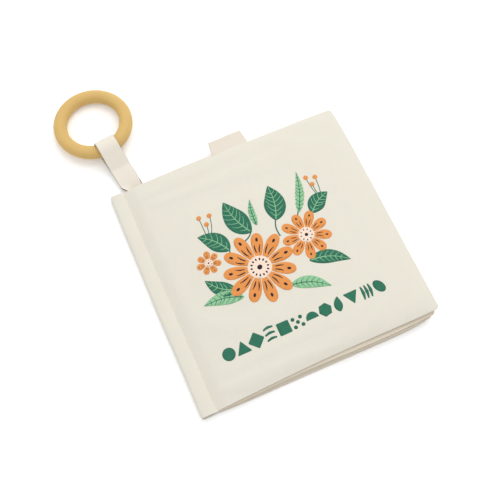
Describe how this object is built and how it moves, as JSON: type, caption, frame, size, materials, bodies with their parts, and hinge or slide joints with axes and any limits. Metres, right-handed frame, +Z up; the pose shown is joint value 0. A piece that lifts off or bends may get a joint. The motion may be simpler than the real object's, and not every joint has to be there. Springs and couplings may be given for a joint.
{
  "type": "crinkle cloth book",
  "caption": "Square cloth baby book with padded crinkle leaves sewn at the spine, a round teething ring on a folded cotton strap and a folded care label.",
  "frame": {"origin": "middle of the back cover's flat underside, between spine edge and fore-edge and between top and bottom edge", "axes": "+X from the spine to the fore-edge, +Y to the top edge with the ring, +Z up through the closed book"},
  "size_m": [0.1845, 0.2424, 0.0146],
  "materials": {
    "canvas": "unbleached cotton canvas, matt, with a printed picture on the front cover",
    "page_cloth": "unbleached cotton cloth, matt",
    "wadding": "soft white polyester wadding",
    "crinkle_film": "thin rustling plastic film",
    "thread": "cotton sewing thread",
    "webbing": "folded cotton strap, matt",
    "silicone": "solid mustard silicone, satin matt",
    "label_tape": "smooth woven label tape, blank"
  },
  "bodies": {
    "back_cover_and_spine": {"back_cover_outer_panel": "canvas", "back_cover_wadding": "wadding", "back_cover_crinkle_film": "crinkle_film", "back_cover_inner_panel": "page_cloth", "spine_wrap": "canvas", "sewn_margins": "page_cloth", "upper_stitch_thread": "thread", "lower_stitch_thread": "thread"},
    "lower_leaf": {"lower_leaf_back_panel": "page_cloth", "lower_leaf_crinkle_film": "crinkle_film", "lower_leaf_front_panel": "page_cloth"},
    "upper_leaf": {"upper_leaf_back_panel": "page_cloth", "upper_leaf_crinkle_film": "crinkle_film", "upper_leaf_front_panel": "page_cloth"},
    "front_cover": {"front_cover_inner_panel": "page_cloth", "front_cover_crinkle_film": "crinkle_film", "front_cover_wadding": "wadding", "front_cover_outer_panel": "canvas"},
    "strap": {"ring_strap": "webbing"},
    "teething_ring": {"ring": "silicone"},
    "label": {"care_label": "label_tape"}
  },
  "joints": [
    {"name": "lower_leaf_turn", "type": "hinge", "parent": "back_cover_and_spine", "child": "lower_leaf", "pos_m": [-0.073, 0, 0.0065], "axis": [0, -1, 0], "range_deg": [0, 179.7]},
    {"name": "upper_leaf_turn", "type": "hinge", "parent": "lower_leaf", "child": "upper_leaf", "pos_m": [-0.073, 0, 0.0065], "axis": [0, -1, 0], "range_deg": [0, 179.7]},
    {"name": "front_cover_turn", "type": "hinge", "parent": "upper_leaf", "child": "front_cover", "pos_m": [-0.073, 0, 0.0065], "axis": [0, -1, 0], "range_deg": [0, 179.7]},
    {"name": "strap_swing", "type": "hinge", "parent": "back_cover_and_spine", "child": "strap", "pos_m": [-0.0664, 0.08074, 0.001], "axis": [0.9903, 0.1392, 0], "range_deg": [-90, 75]},
    {"name": "ring_swing", "type": "hinge", "parent": "strap", "child": "teething_ring", "pos_m": [-0.07086, 0.1125, 0.00738], "axis": [-0.9903, -0.1392, 0], "range_deg": [-120, 120]},
    {"name": "label_bend", "type": "hinge", "parent": "front_cover", "child": "label", "pos_m": [0.0055, 0.0808, 0.00898], "axis": [1, 0, 0], "range_deg": [-90, 90]}
  ]
}
